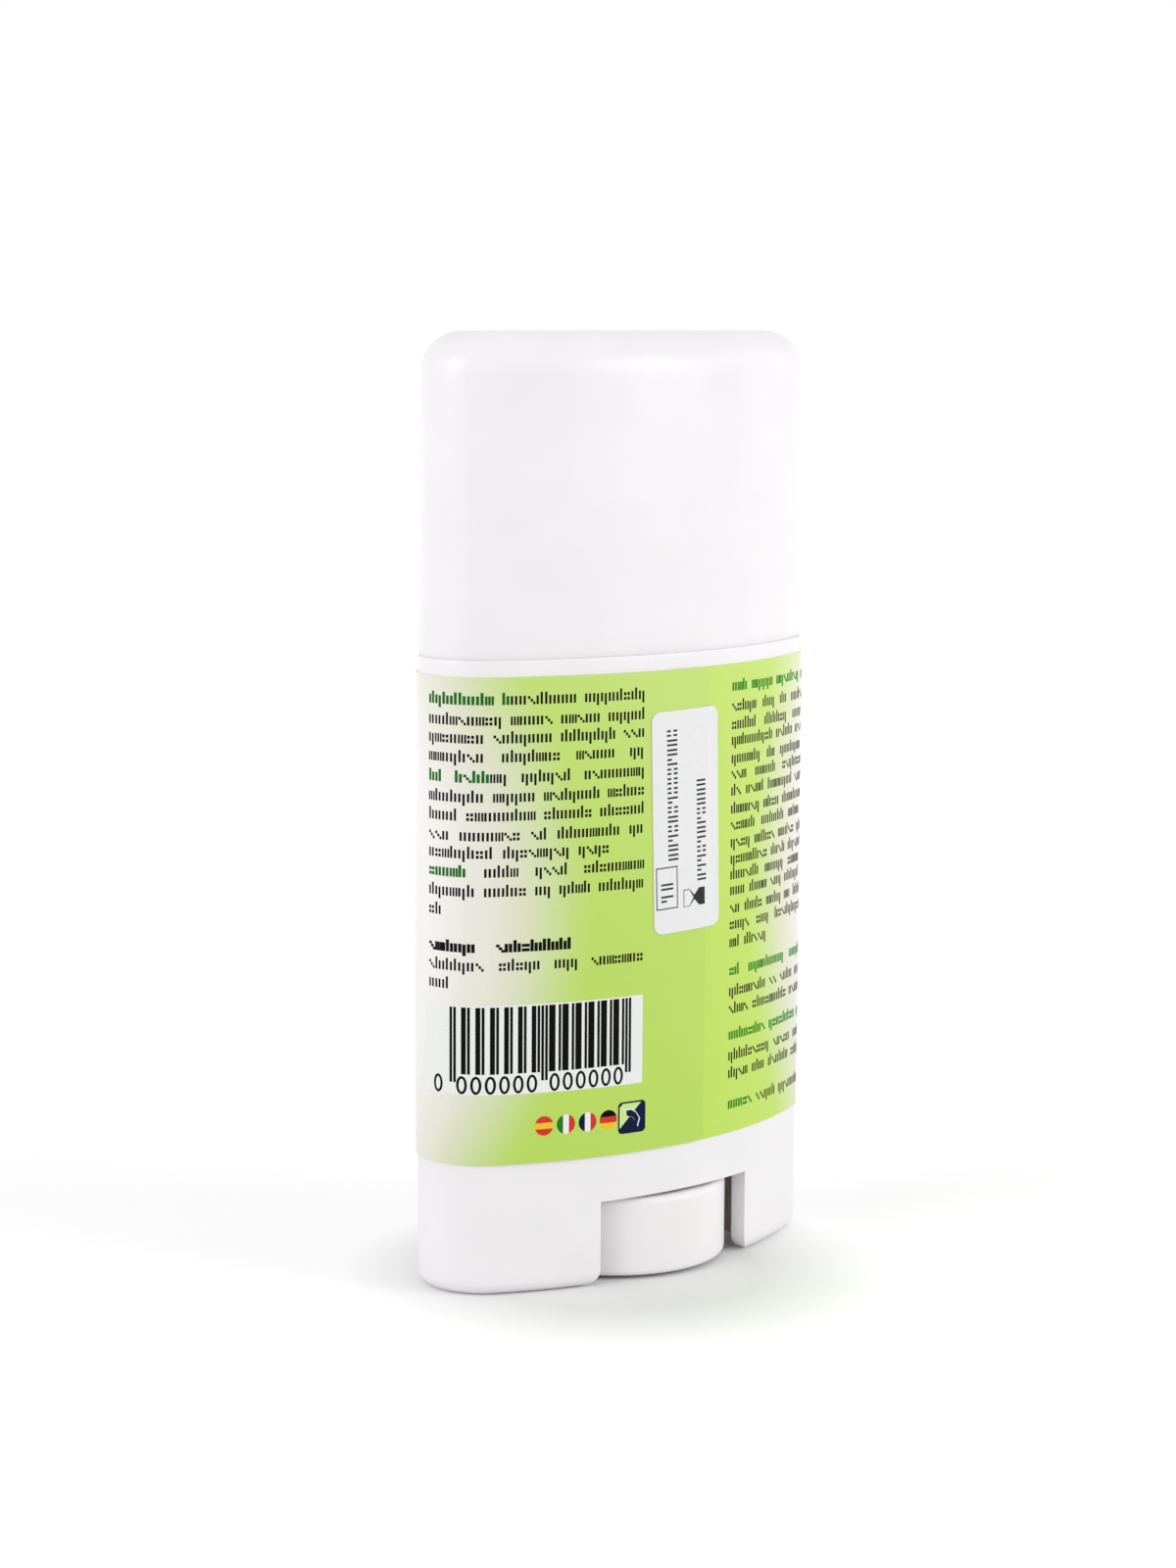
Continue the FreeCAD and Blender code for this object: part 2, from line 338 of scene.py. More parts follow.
# %% Barrel section
SHOULDER = 82.4
NECK_TOP = 94.4
NECK_INSET = 1.5
BORE_INSET = 2.5
BORE_FLOOR = 13.3
FOOT_ROOF = 11.3
ARCH_HALF = 12.9
ARCH_FLARE = 2.3
BEARING = 3.15
FOOT_CORNER = 1.8
DISHED = 0.02


def barrel_levels():
    """The barrel's section as (inset, height), from the foot's outer edge up, over and down the bore."""
    outside = [(0, height) for height in (0, 2.4, 5, 8, 10.4, 11.0, 11.7, 14, 30, 50, 70, 81.6, 82.1)]
    outside.append((0.06, SHOULDER))
    neck = [(NECK_INSET, SHOULDER), (NECK_INSET, 89.7), (NECK_INSET - 0.2, 90.4), (NECK_INSET, 91.1),
            (NECK_INSET, NECK_TOP), (BORE_INSET, NECK_TOP)]
    bore = [(BORE_INSET, height) for height in (92, 70, 45, 20, BORE_FLOOR)]
    return outside, neck, bore


def barrel_loops(bm):
    """The whole closed chain of loops, from the foot's outer edge round to its inner edge."""
    outside, neck, bore = barrel_levels()
    loops = [oval_loop(bm, inset, height) for inset, height in outside + neck + bore]
    loops.append(round_loop(bm, BEARING, BORE_FLOOR - DISHED))
    loops.append(round_loop(bm, BEARING, FOOT_ROOF + DISHED))
    return loops + [oval_loop(bm, BORE_INSET, height) for height in (FOOT_ROOF, 6, DISHED)]


print("barrel shoulder at", SHOULDER, "and neck top at", NECK_TOP)

# %% [markdown]
# ## The arch through the foot
# A side core of the mould forms the arch, and the feet flare softly where it leaves them. A core is drawn
# and pushed through, and a boolean takes it out of the foot, which is simpler than leading each loop round
# the gap. Its faces keep a hair off the rim and the roof, since faces in one plane confuse the cut.

# %% Arch core and cut
CORE_HALF_WIDE = 20.0
CORE_REACH = 20
CORE_BOTTOM = -3
CORE_LEDGE = -0.003
CORE_ROOF = FOOT_ROOF - 0.01


def arch_cutter():
    """The side core for the wheel's arch: an upside-down T whose inner corners are rounded."""
    bm = bmesh.new()
    wide, bottom, ledge, roof = CORE_HALF_WIDE, CORE_BOTTOM, CORE_LEDGE, CORE_ROOF
    outline = [(-wide, bottom), (wide, bottom), (wide, ledge), (ARCH_HALF, ledge), (ARCH_HALF, roof),
               (-ARCH_HALF, roof), (-ARCH_HALF, ledge), (-wide, ledge)]
    corners = [bm.verts.new((x, -CORE_REACH, z)) for x, z in outline]
    face = bm.faces.new(corners)
    made = bmesh.ops.extrude_face_region(bm, geom=[face], use_keep_orig=True)
    pushed = [item for item in made["geom"] if isinstance(item, bmesh.types.BMVert)]
    bmesh.ops.translate(bm, verts=pushed, vec=(0, 2 * CORE_REACH, 0))
    inner = [edge for edge in bm.edges
             if all(abs(abs(v.co.x) - ARCH_HALF) < 1e-4 and abs(v.co.z - ledge) < 1e-4 for v in edge.verts)]
    round_over(bm, inner, ARCH_FLARE, 8)
    bmesh.ops.recalc_face_normals(bm, faces=bm.faces)
    return bm


def carve(bm, cutter_bm):
    """Cuts one closed bmesh out of another and returns the result."""
    pair = [set_out("shop_piece", mesh_of(source, "shop_piece")) for source in (bm, cutter_bm)]
    cut = pair[0].modifiers.new("cut", "BOOLEAN")
    cut.operation = "DIFFERENCE"
    cut.solver = "EXACT"
    cut.object = pair[1]
    graph = bpy.context.evaluated_depsgraph_get()
    carved = bmesh.new()
    carved.from_mesh(pair[0].evaluated_get(graph).to_mesh())
    for thing in pair:
        bpy.data.objects.remove(thing)
    return carved


print("arch", 2 * ARCH_HALF, "mm wide under a roof at", FOOT_ROOF)

# %% [markdown]
# ## The barrel, put together
# A web stands across the foot on each side of the wheel. The webs are plain blocks that run into the
# walls. Faces within the bore's oval take the painted warm glow of the inside.

# %% Barrel
WEB_WAY = 16.85
WEB_MIDDLE = 6.4
WEB_SIZE = (1.2, 19.8, 10.8)


def foot_webs(bm):
    """Two upright webs across the foot, one each side of the wheel."""
    for side in (-1, 1):
        bmesh.ops.create_cube(bm, size=1.0, matrix=set_at((side * WEB_WAY, 0, WEB_MIDDLE), WEB_SIZE))


def lies_inside(spot, inset):
    """Whether a point lies within the oval of one inset."""
    x, y = abs(spot.x), abs(spot.y)
    if math.atan2(x, y + SIDE_CENTRE) < SIDE_TURN:
        return math.hypot(x, y + SIDE_CENTRE) < SIDE_RADIUS - inset
    return math.hypot(x - END_CENTRE, y) < END_RADIUS - inset


def make_barrel():
    bm = bmesh.new()
    loops = barrel_loops(bm)
    skin(bm, loops + [loops[0]])
    round_over(bm, loops[0], FOOT_CORNER, 10)
    close_up(bm)
    bm = carve(bm, arch_cutter())
    foot_webs(bm)
    # Faces inside the bore's oval get the painted glow material, a warm white standing in for light through
    # the walls.
    for face in bm.faces:
        face.material_index = 1 if lies_inside(face.calc_center_median(), BORE_INSET - 0.1) else 0
    piece = finish_piece(bm, "barrel_moulding", "barrel", [BARREL_WHITE, INSIDE_PAINTED_GLOW])
    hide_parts("barrel")


make_barrel()

# %% [markdown]
# ## The dial wheel
# The wheel is turned by finger and thumb where it stands out of the arch, front and back. It is a shallow
# dish with its closed face down. An outline spun once round the axis gives the dish and its hub, as on a
# lathe, and six ribs are set between them.

# %% Dial wheel
WHEEL_RADIUS = 15.25
WHEEL_BOTTOM = 0.5
WHEEL_TOP = 10.9
WHEEL_CORNER = 0.8
DISH = 2.1
RIM_WALL = 2.0
HUB = 4.6
HUB_BORE = 3.0
RIB_WAY = 8.9
RIB_SIZE = (9.6, 1.2, 5.2)
LATHE_STEPS = 128


def lathe(bm, outline):
    """An outline of (radius, height) spun once round the upright axis."""
    points = [bm.verts.new((radius, 0, height)) for radius, height in outline]
    edges = [bm.edges.new(pair) for pair in zip(points, points[1:])]
    bmesh.ops.spin(bm, geom=points + edges, cent=(0, 0, 0), axis=UP, angle=2 * math.pi,
                   steps=LATHE_STEPS, use_merge=True)


def level_ring(bm, radius, height):
    """The edges that run along one circle of a turned piece."""
    def on_ring(vert):
        return abs(vert.co.xy.length - radius) < 1e-3 and abs(vert.co.z - height) < 1e-3
    return [edge for edge in bm.edges if on_ring(edge.verts[0]) and on_ring(edge.verts[1])]


def wheel_ribs(bm):
    """Six straight ribs from the hub to the rim."""
    for index in range(6):
        turn = Matrix.Rotation(math.radians(60 * (index + 0.5)), 4, "Z")
        bmesh.ops.create_cube(bm, size=1.0, matrix=turn @ set_at((RIB_WAY, 0, DISH + 2.4), RIB_SIZE))


def make_wheel():
    bm = bmesh.new()
    rim_inside = WHEEL_RADIUS - RIM_WALL
    lathe(bm, [(0, WHEEL_BOTTOM), (8, WHEEL_BOTTOM), (13.9, WHEEL_BOTTOM), (WHEEL_RADIUS, WHEEL_BOTTOM),
               (WHEEL_RADIUS, 1.6), (WHEEL_RADIUS, 9.8), (WHEEL_RADIUS, WHEEL_TOP),
               (rim_inside, WHEEL_TOP), (rim_inside, DISH), (HUB, DISH), (HUB, WHEEL_TOP),
               (HUB_BORE, WHEEL_TOP), (HUB_BORE, DISH), (0, DISH)])
    close_up(bm)
    for height in (WHEEL_BOTTOM, WHEEL_TOP):
        round_over(bm, level_ring(bm, WHEEL_RADIUS, height), WHEEL_CORNER, 8)
    wheel_ribs(bm)
    piece = finish_piece(bm, "wheel_moulding", "dial", [WHEEL_WHITE])
    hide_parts("dial_wheel")


make_wheel()

# %% [markdown]
# ## The stick
# The bar is poured warm into the barrel round the carrier, and a lid with a soft dome shapes its top. It
# is hidden while the cap is on. One chain of loops runs from the crown down the outside, in at the foot
# and up the screw's hole. Its wax is a little cloudy and has tiny pits, and light soaks into it.

# %% Stick finish and shape
def cast_wax():
    material, tree, output = start_material("cast_wax")
    clouds = spread(tree, grain(tree, 160.0, 3.0), 0.0, 1.0)
    colour = blend_colours(tree, clouds, chart(230, 232, 225), chart(236, 238, 231))
    pits = spread(tree, grain(tree, 2600.0, 2.0), 0.0, 1.0, 0.55, 0.75)
    surface = bumps(tree, pits, 0.25, 0.00004)
    roughness = spread(tree, grain(tree, 300.0, 3.0), 0.42, 0.58)
    sockets = {"Base Color": colour, "Roughness": roughness, "Normal": surface, "IOR": 1.44,
               "Subsurface Weight": 0.2, "Subsurface Scale": 0.001}
    principled(tree, output, sockets)
    return material


STICK_WAX = cast_wax()
STICK_INSET = 3.0
STICK_BOTTOM = 22.5
STICK_TOP = 100.0
CROWN_INSET = 7.9
CROWN_CORNER = 4.8
SPIGOT_INSET = 4.1
SPIGOT_BOTTOM = 17.1
NUT_HOLE = 6.1
NUT_TOP = 22.6
SCREW_HOLE = 4.2
SCREW_TOP = 93.5


def make_stick():
    bm = bmesh.new()
    outside = [oval_loop(bm, STICK_INSET, height) for height in (STICK_BOTTOM, 40, 65, 88, 94.3, STICK_TOP)]
    crown = oval_loop(bm, CROWN_INSET, STICK_TOP)
    foot = [oval_loop(bm, SPIGOT_INSET, height) for height in (STICK_BOTTOM, SPIGOT_BOTTOM)]
    hole = [round_loop(bm, NUT_HOLE, SPIGOT_BOTTOM + DISHED), round_loop(bm, NUT_HOLE, NUT_TOP),
            round_loop(bm, SCREW_HOLE, NUT_TOP + DISHED), round_loop(bm, SCREW_HOLE, SCREW_TOP)]
    skin(bm, [crown] + outside[::-1] + foot + hole)
    for ring in (crown, hole[-1]):
        bmesh.ops.edgeloop_fill(bm, edges=ring)
    round_over(bm, outside[-1], CROWN_CORNER, 16)
    close_up(bm)
    piece = finish_piece(bm, "cast_bar", "stick", [STICK_WAX])
    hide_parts("deodorant_stick")


make_stick()

# %% [markdown]
# ## The screw and the carrier
# These two work out of sight. Their CAD forms are already right, so they stay, and only get the finish of
# unpolished natural plastic.

# %% Carried-over nodes
for node_name in ("screw_spindle", "elevator"):
    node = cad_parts[node_name]
    node.data.materials.clear()
    node.data.materials.append(NATURAL_WHITE)
    print(node_name, "wears", NATURAL_WHITE.name)

# %% [markdown]
# ## Flat sheets wrapped round the oval
# Film and print are easiest to lay out flat, as the printer does: X is the way round the container from the
# middle of the photographed face, Y is the height, and Z is how far the sheet stands out. The flat place is
# kept as the UV map, one unit for 100 mm, so a printed pattern can follow it. Then every point is bent
# round the oval by the length of its way.

# %% Wrap helpers
FRONT_HALF = SIDE_RADIUS * SIDE_TURN
END_LENGTH = END_RADIUS * END_TURN
HALF_ROUND = 2 * FRONT_HALF + END_LENGTH
FULL_ROUND = 2 * HALF_ROUND


def oval_spot(way):
    """The point that lies `way` round the barrel's face, and the direction straight out of it."""
    way = (way + HALF_ROUND) % FULL_ROUND - HALF_ROUND
    side = math.copysign(1.0, way)
    way = abs(way)
    if way < FRONT_HALF:
        centre, radius, turn = Vector((0, SIDE_CENTRE)), SIDE_RADIUS, way / SIDE_RADIUS
    elif way < FRONT_HALF + END_LENGTH:
        centre, radius = Vector((END_CENTRE, 0)), END_RADIUS
        turn = SIDE_TURN + (way - FRONT_HALF) / END_RADIUS
    else:
        centre, radius = Vector((0, -SIDE_CENTRE)), SIDE_RADIUS
        turn = SIDE_TURN + END_TURN + (way - FRONT_HALF - END_LENGTH) / SIDE_RADIUS
    out = Vector((math.sin(turn), -math.cos(turn)))
    spot = centre + out * radius
    return Vector((spot.x * side, spot.y)), Vector((out.x * side, out.y))


def keep_flat_place(bm):
    """Writes each corner's flat place into the UV map."""
    layer = bm.loops.layers.uv.new("flat_place")
    for face in bm.faces:
        for corner in face.loops:
            corner[layer].uv = corner.vert.co.xy / 100


def wrap(bm):
    """Bends the flat sheet round the oval."""
    for vert in bm.verts:
        way, height, out = vert.co
        spot, outwards = oval_spot(way)
        spot = spot + outwards * out
        vert.co = (spot.x, spot.y, height)


def patch(bm, left, bottom, right, top, out, column):
    """A flat sheet that lies `out` from the barrel, with one quad to each column."""
    columns = max(1, round((right - left) / column))
    place = set_at(((left + right) / 2, (bottom + top) / 2, out), (right - left, top - bottom, 1))
    bmesh.ops.create_grid(bm, x_segments=columns, y_segments=1, size=0.5, matrix=place)


def rounded_sheet(bm, left, bottom, right, top, corner, out, round_left=True):
    """One flat face with its corners rounded, or only the two on its right."""
    spots = ((left, bottom), (right, bottom), (right, top), (left, top))
    face = bm.faces.new([bm.verts.new((x, y, out)) for x, y in spots])
    chosen = [vert for vert in face.verts if round_left or vert.co.x > (left + right) / 2]
    bmesh.ops.bevel(bm, geom=chosen, offset=corner, offset_type="OFFSET", affect="VERTICES",
                    segments=6, profile=0.5, material=-1)


def cut_columns(bm, pitch=0.6):
    """Upright cuts through flat print, so that it can bend with the film."""
    ways = [vert.co.x for vert in bm.verts]
    way = min(ways) + pitch
    while way < max(ways):
        whole = bm.verts[:] + bm.edges[:] + bm.faces[:]
        bmesh.ops.bisect_plane(bm, geom=whole, plane_co=(way, 0, 0), plane_no=(1, 0, 0))
        way += pitch


def look_outwards(bm):
    """Turns every face of a flat sheet to look out of the barrel."""
    bmesh.ops.recalc_face_normals(bm, faces=bm.faces)
    for face in bm.faces:
        if face.normal.z < 0:
            face.normal_flip()


def thicken(bm, depth):
    """Gives flat work its thickness, inwards from its face."""
    bmesh.ops.solidify(bm, geom=bm.faces[:], thickness=depth)


def finish_print(bm, name, finishes):
    """Keeps the flat place, wraps the sheet and finishes it on the barrel."""
    keep_flat_place(bm)
    wrap(bm)
    return finish_piece(bm, name, "barrel", finishes)


print("way round the barrel", round(FULL_ROUND, 2), "mm")

# %% [markdown]
# ## Printed film
# The label is a plastic film, printed green, that fades to white in one wide glow round the back and both
# ends. On each side the glow's edge is a shallow bow, lowest at the label's middle, so the share of white
# is worked out from how far past that bow a spot lies. The white is creamy near its edge, as thin ink is.

# %% Film finish
LEFT_BOW = (0.210, 1.01)
RIGHT_BOW = (0.190, 0.77)


def past_bow(tree, way, height):
    """How far round past the bowed edge of the green a spot lies, in units of 100 mm."""
    on_right = sums(tree, "GREATER_THAN", way, 0.0)
    nearest = spread(tree, on_right, LEFT_BOW[0], RIGHT_BOW[0], 0.0, 1.0)
    bend = spread(tree, on_right, LEFT_BOW[1], RIGHT_BOW[1], 0.0, 1.0)
    off_middle = sums(tree, "SUBTRACT", height, 0.50)
    bow = sums(tree, "MULTIPLY", bend, sums(tree, "MULTIPLY", off_middle, off_middle))
    edge = sums(tree, "ADD", nearest, bow)
    return sums(tree, "SUBTRACT", sums(tree, "ABSOLUTE", way), edge)


def glow_share(tree, past):
    """0 where the green is full and 1 where the film is white, with a long soft tail."""
    sockets = {"Value": past, "From Min": -0.075, "From Max": 0.07}
    main = step(tree, "MapRange", sockets, interpolation_type="SMOOTHSTEP").outputs["Result"]
    tail = spread(tree, past, 0.90, 1.0, 0.0, 0.14)
    return sums(tree, "MULTIPLY", main, tail)


def height_colours(tree, height, stops):
    """A colour ramp up the label; each stop is (height in units of 100 mm, colour)."""
    ramp = step(tree, "ValToRGB", {"Fac": height})
    ramp.color_ramp.elements[0].position = stops[0][0]
    ramp.color_ramp.elements[0].color = stops[0][1]
    ramp.color_ramp.elements[1].position = stops[-1][0]
    ramp.color_ramp.elements[1].color = stops[-1][1]
    for position, colour in stops[1:-1]:
        ramp.color_ramp.elements.new(position).color = colour
    return ramp.outputs["Color"]


def printed_film(name, stops):
    """Film whose green, a little different up its height, fades into the glow."""
    material, tree, output = start_material(name)
    flat = step(tree, "SeparateXYZ", {0: step(tree, "UVMap", uv_map="flat_place").outputs[0]})
    way, height = flat.outputs[0], flat.outputs[1]
    past = past_bow(tree, way, height)
    white = blend_colours(tree, spread(tree, past, 0.0, 1.0, 0.04, 0.16), CREAM, CLEAR_WHITE)
    colour = blend_colours(tree, glow_share(tree, past), height_colours(tree, height, stops), white)
    screen = spread(tree, grain(tree, 5200.0, 1.0), 0.975, 1.0)
    colour = step(tree, "VectorMath", {0: colour, "Scale": screen}, operation="SCALE").outputs[0]
    roughness = spread(tree, grain(tree, 260.0, 3.0), 0.30, 0.40)
    surface = bumps(tree, grain(tree, 700.0, 2.0), 0.1, 0.00002)
    sockets = {"Base Color": colour, "Roughness": roughness, "Normal": surface, "IOR": 1.5}
    principled(tree, output, sockets)
    return material


CREAM = chart(227, 224, 211)
CLEAR_WHITE = chart(240, 239, 238)
BASE_STOPS = ((0.174, chart(189, 222, 85)), (0.47, chart(191, 221, 90)), (0.803, chart(194, 222, 101)))
LEAF_STOPS = ((0.174, chart(181, 215, 86)), (0.47, chart(185, 216, 92)), (0.803, chart(190, 219, 109)))
BASE_FILM = printed_film("base_film", BASE_STOPS)
LEAF_FILM = printed_film("leaf_film", LEAF_STOPS)
print("films", BASE_FILM.name, LEAF_FILM.name)

# %% [markdown]
# ## The label and its leaf
# The wrap label goes once round, and its ends meet under the leaf. The leaf is a second film that peels up
# from its free edge on the photographed face and stays hinged round the left end. Each is cut into narrow
# columns and given its thickness while it is flat, and then wrapped.

# %% Label sheets
LABEL_BOTTOM = 17.4
LABEL_TOP = 80.3
FILM = 0.12
GLUE = 0.02
BASE_OUT = GLUE + FILM
LEAF_OUT = BASE_OUT + GLUE + FILM
LABEL_START = -2.2
ENDS_GAP = 0.4
SEAM = 3.6
LEAF_BACK = -(FRONT_HALF + END_LENGTH + 1.2)
LEAF_CORNER = 1.0
COLUMN = 0.6


def make_label():
    bm = bmesh.new()
    end = LABEL_START + FULL_ROUND - ENDS_GAP
    patch(bm, LABEL_START, LABEL_BOTTOM, end, LABEL_TOP, BASE_OUT, COLUMN)
    thicken(bm, FILM)
    piece = finish_print(bm, "label_film_wrap", [BASE_FILM])
    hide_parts("label_base")


def make_leaf():
    bm = bmesh.new()
    rounded_sheet(bm, LEAF_BACK, LABEL_BOTTOM, SEAM, LABEL_TOP, LEAF_CORNER, LEAF_OUT, round_left=False)
    cut_columns(bm, COLUMN)
    thicken(bm, FILM)
    piece = finish_print(bm, "label_film_leaf", [LEAF_FILM])
    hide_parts("label_leaf")


make_label()
make_leaf()

# %% [markdown]
# ## Printing inks
# Print is a very thin layer of ink, so each mark is a thin slab that stands just proud of the film. These
# inks hardly shine, so they stay dark under the lamps. An ink's density wavers, so a fine noise lightens
# it in places.

# %% Inks
INK = 0.012


def printing_ink(name, full, thin, gloss=0.32):
    material, tree, output = start_material(name)
    density = spread(tree, grain(tree, 3800.0, 2.0), 0.0, 1.0, 0.35, 0.7)
    colour = blend_colours(tree, density, full, thin)
    roughness = spread(tree, grain(tree, 900.0, 2.0), gloss, gloss + 0.1)
    sockets = {"Base Color": colour, "Roughness": roughness, "IOR": 1.5, "Specular IOR Level": 0.05}
    principled(tree, output, sockets)
    return material


BLACK_INK = printing_ink("black_ink", chart(5, 5, 5), chart(14, 15, 13))
LEFT_GREEN_INK = printing_ink("left_green_ink", chart(20, 98, 14), chart(32, 112, 22))
RIGHT_GREEN_INK = printing_ink("right_green_ink", chart(30, 128, 18), chart(42, 142, 28))
WHITE_INK = printing_ink("white_ink", chart(236, 238, 236), chart(231, 233, 231))
RED_INK = printing_ink("red_ink", chart(206, 50, 40), chart(214, 66, 52))
YELLOW_INK = printing_ink("yellow_ink", chart(236, 190, 40), chart(240, 200, 60))
LEAF_GREEN_INK = printing_ink("leaf_green_ink", chart(34, 112, 34), chart(48, 126, 46))
NAVY_INK = printing_ink("navy_ink", chart(14, 24, 56), chart(22, 32, 66))
PALE_INK = printing_ink("pale_ink", chart(206, 232, 150), chart(198, 226, 138))
GREY_INK = printing_ink("grey_ink", chart(44, 45, 47), chart(60, 61, 63), 0.45)
print("inks from", BLACK_INK.name, "to", GREY_INK.name)

# %% [markdown]
# ## Rows of small print
# The label's two columns of small print are set here as a printer's dummy: word groups of upright ticks and
# dots that never touch, so they can't be read as letters. They keep the size, weight, spacing and ragged or
# justified ends of real rows. Each mark is one thin cube, laid flat and then wrapped. A cell holds one mark
# out of a small set, and the pair of plain ticks is in the set twice, since it should come up most.

# %% Dummy type
CELL = 1.12
STROKE = 0.30
PLAIN_TICKS = ((0.06, 0.0, STROKE, 1.12), (0.60, 0.0, STROKE, 1.12))
CELL_MARKS = (
    PLAIN_TICKS,
    PLAIN_TICKS,
    ((0.08, 0.0, STROKE, 1.55), (0.62, 0.0, STROKE, 1.12)),
    ((0.06, 0.0, STROKE, 1.12), (0.60, -0.45, STROKE, 1.50)),
    ((0.02, 0.0, 0.25, 1.12), (0.42, 0.0, 0.25, 1.12), (0.82, 0.0, 0.25, 1.12)),
    ((0.06, 0.62, 0.36, 0.40), (0.58, 0.62, 0.36, 0.40), (0.06, 0.03, 0.36, 0.40), (0.58, 0.03, 0.36, 0.40)),
    ((0.06, 0.70, 0.32, 0.36), (0.40, 0.34, 0.32, 0.36), (0.74, 0.0, 0.30, 0.36)),
    ((0.06, 0.0, STROKE, 1.12), (0.60, 0.0, STROKE, 1.55)),
)


def slab(bm, left, bottom, width, height, out, finish):
    """One thin printed slab on a surface that is `out` from the barrel."""
    place = set_at((left + width / 2, bottom + height / 2, out), (width, height, 2 * INK))
    made = bmesh.ops.create_cube(bm, size=1.0, matrix=place)
    for face in {face for vert in made["verts"] for face in vert.link_faces}:
        face.material_index = finish


def word_lengths(room, dice):
    """Word lengths in cells that fill a row."""
    words = []
    while room >= 3:
        length = min(dice.choice((2, 3, 4, 5, 5, 6, 7, 8, 9)), int(room))
        words.append(length)
        room -= length + 0.8
    return words or [max(1, int(room))]


def type_row(bm, left, right, middle, out, dice, green_to=None, heavy=1.0):
    """One row of dummy type between two ways round, its middle at a height."""
    words = word_lengths((right - left) / CELL, dice)
    gap = (right - left - sum(words) * CELL) / max(1, len(words) - 1)
    way = left
    for length in words:
        for _ in range(length):
            finish = 1 if green_to is not None and way < green_to - 0.5 else 0
            weight = 1.25 if finish == 1 else heavy
            for x, y, width, height in dice.choice(CELL_MARKS):
                slab(bm, way + x, middle - 0.6 + y, min(width * weight, 0.9), height, out, finish)
            way += CELL
        way += gap


print("cell marks", len(CELL_MARKS))

# %% [markdown]
# ## The column on the leaf
# Each row is given by its height, its right end and, where its first words are green, where they stop. A
# bold title row stands above the last two. All rows share one dice, so their order decides their marks.

# %% Left column of small print
ROW_END = -6.95
LEFT_ROWS = (
    (77.4, ROW_END, -25.7), (74.8, ROW_END, None), (72.5, ROW_END, None), (70.1, -7.1, None),
    (67.5, ROW_END, -28.2), (65.0, ROW_END, None), (62.6, ROW_END, None), (60.05, -7.1, None),
    (57.8, -12.2, None), (55.4, ROW_END, -31.6), (52.9, -7.1, None), (50.4, -34.0, None),
    (43.3, ROW_END, None), (40.9, -32.8, None),
)
LEFT_EDGE = -36.9


def make_left_print():
    bm = bmesh.new()
    dice = random.Random(11)
    for middle, right, green_to in LEFT_ROWS:
        type_row(bm, LEFT_EDGE, right, middle, LEAF_OUT, dice, green_to)
    type_row(bm, LEFT_EDGE, -17.6, 45.7, LEAF_OUT, dice, heavy=1.5)
    finish_print(bm, "left_small_print", [BLACK_INK, LEFT_GREEN_INK])


make_left_print()

# %% [markdown]
# ## The column on the base label
# This column lies on the base label, beside the leaf's free edge. Its rows reach one right edge, apart from
# a short one and a few green titles.

# %% Right column of small print
RIGHT_ROWS = (74.6, 72.2, 70.1, 67.7, 65.6, 63.4, 61.0, 58.8, 56.5, 54.3, 52.2, 50.1, 47.7, 45.5,
              36.5, 34.1, 27.8, 25.4)
RIGHT_COLUMN = 8.65
RIGHT_EDGE = 39.6


def make_right_print():
    bm = bmesh.new()
    dice = random.Random(23)
    for middle in RIGHT_ROWS:
        type_row(bm, RIGHT_COLUMN, RIGHT_EDGE, middle, BASE_OUT, dice)
    type_row(bm, RIGHT_COLUMN, 17.5, 43.1, BASE_OUT, dice)
    for middle, right, green_to in ((77.3, RIGHT_EDGE, 50.0), (39.3, 33.0, 50.0), (30.6, 33.0, 50.0)):
        type_row(bm, RIGHT_COLUMN, right, middle, BASE_OUT, dice, green_to)
    type_row(bm, RIGHT_COLUMN, 34.0, 21.2, BASE_OUT, dice, 16.0)
    finish_print(bm, "right_small_print", [BLACK_INK, RIGHT_GREEN_INK])


make_right_print()

# %% [markdown]
# ## The striped code
# A white panel carries the upright stripes that a till scans. These stripes spell only zeros in the common
# 13-figure code, which is 95 narrow columns wide. A run of black columns is one patch with one quad a
# column, so that it bends with the film. Ink spreads a little as it is pressed, so each run is printed
# wider than its columns. The guard stripes at the ends and in the middle reach further down.

# %% Code panel and stripes
PANEL = (-37.8, 26.58, -7.05, 38.2)
STRIPES_LEFT = -33.47
STRIPES_TOP = 38.0
STRIPES_FOOT = 29.3
GUARDS_FOOT = 28.2
STRIPE = 0.2588
INK_GAIN = 0.10
PANEL_OUT = LEAF_OUT + INK
LEFT_ZERO = "0001101"
RIGHT_ZERO = "1110010"
STRIPE_CODE = "101" + LEFT_ZERO * 6 + "01010" + RIGHT_ZERO * 6 + "101"
GUARDS = (range(0, 3), range(45, 50), range(92, 95))


def make_code_panel():
    bm = bmesh.new()
    left, bottom, right, top = PANEL
    patch(bm, left, bottom, right, top, PANEL_OUT, COLUMN)
    thicken(bm, 2 * INK)
    finish_print(bm, "code_panel", [WHITE_INK])


def stripe_runs():
    """Each run of black columns as (first column, how many)."""
    runs = []
    for index, column in enumerate(STRIPE_CODE):
        if column == "1" and runs and sum(runs[-1]) == index:
            runs[-1][1] += 1
        elif column == "1":
            runs.append([index, 1])
    return runs


def make_stripes():
    bm = bmesh.new()
    for first, count in stripe_runs():
        foot = GUARDS_FOOT if any(first in guard for guard in GUARDS) else STRIPES_FOOT
        left = STRIPES_LEFT + first * STRIPE - INK_GAIN / 2
        right = STRIPES_LEFT + (first + count) * STRIPE + INK_GAIN / 2
        patch(bm, left, foot, right, STRIPES_TOP, PANEL_OUT + INK, STRIPE)
    thicken(bm, INK)
    finish_print(bm, "code_stripes", [BLACK_INK])


make_code_panel()
make_stripes()

# %% [markdown]
# ## The noughts
# Such a code has figures under it, one before the stripes and one under each seven columns. Here each is a
# plain nought, to agree with the stripes: the ring between two stretched circles, bridged.

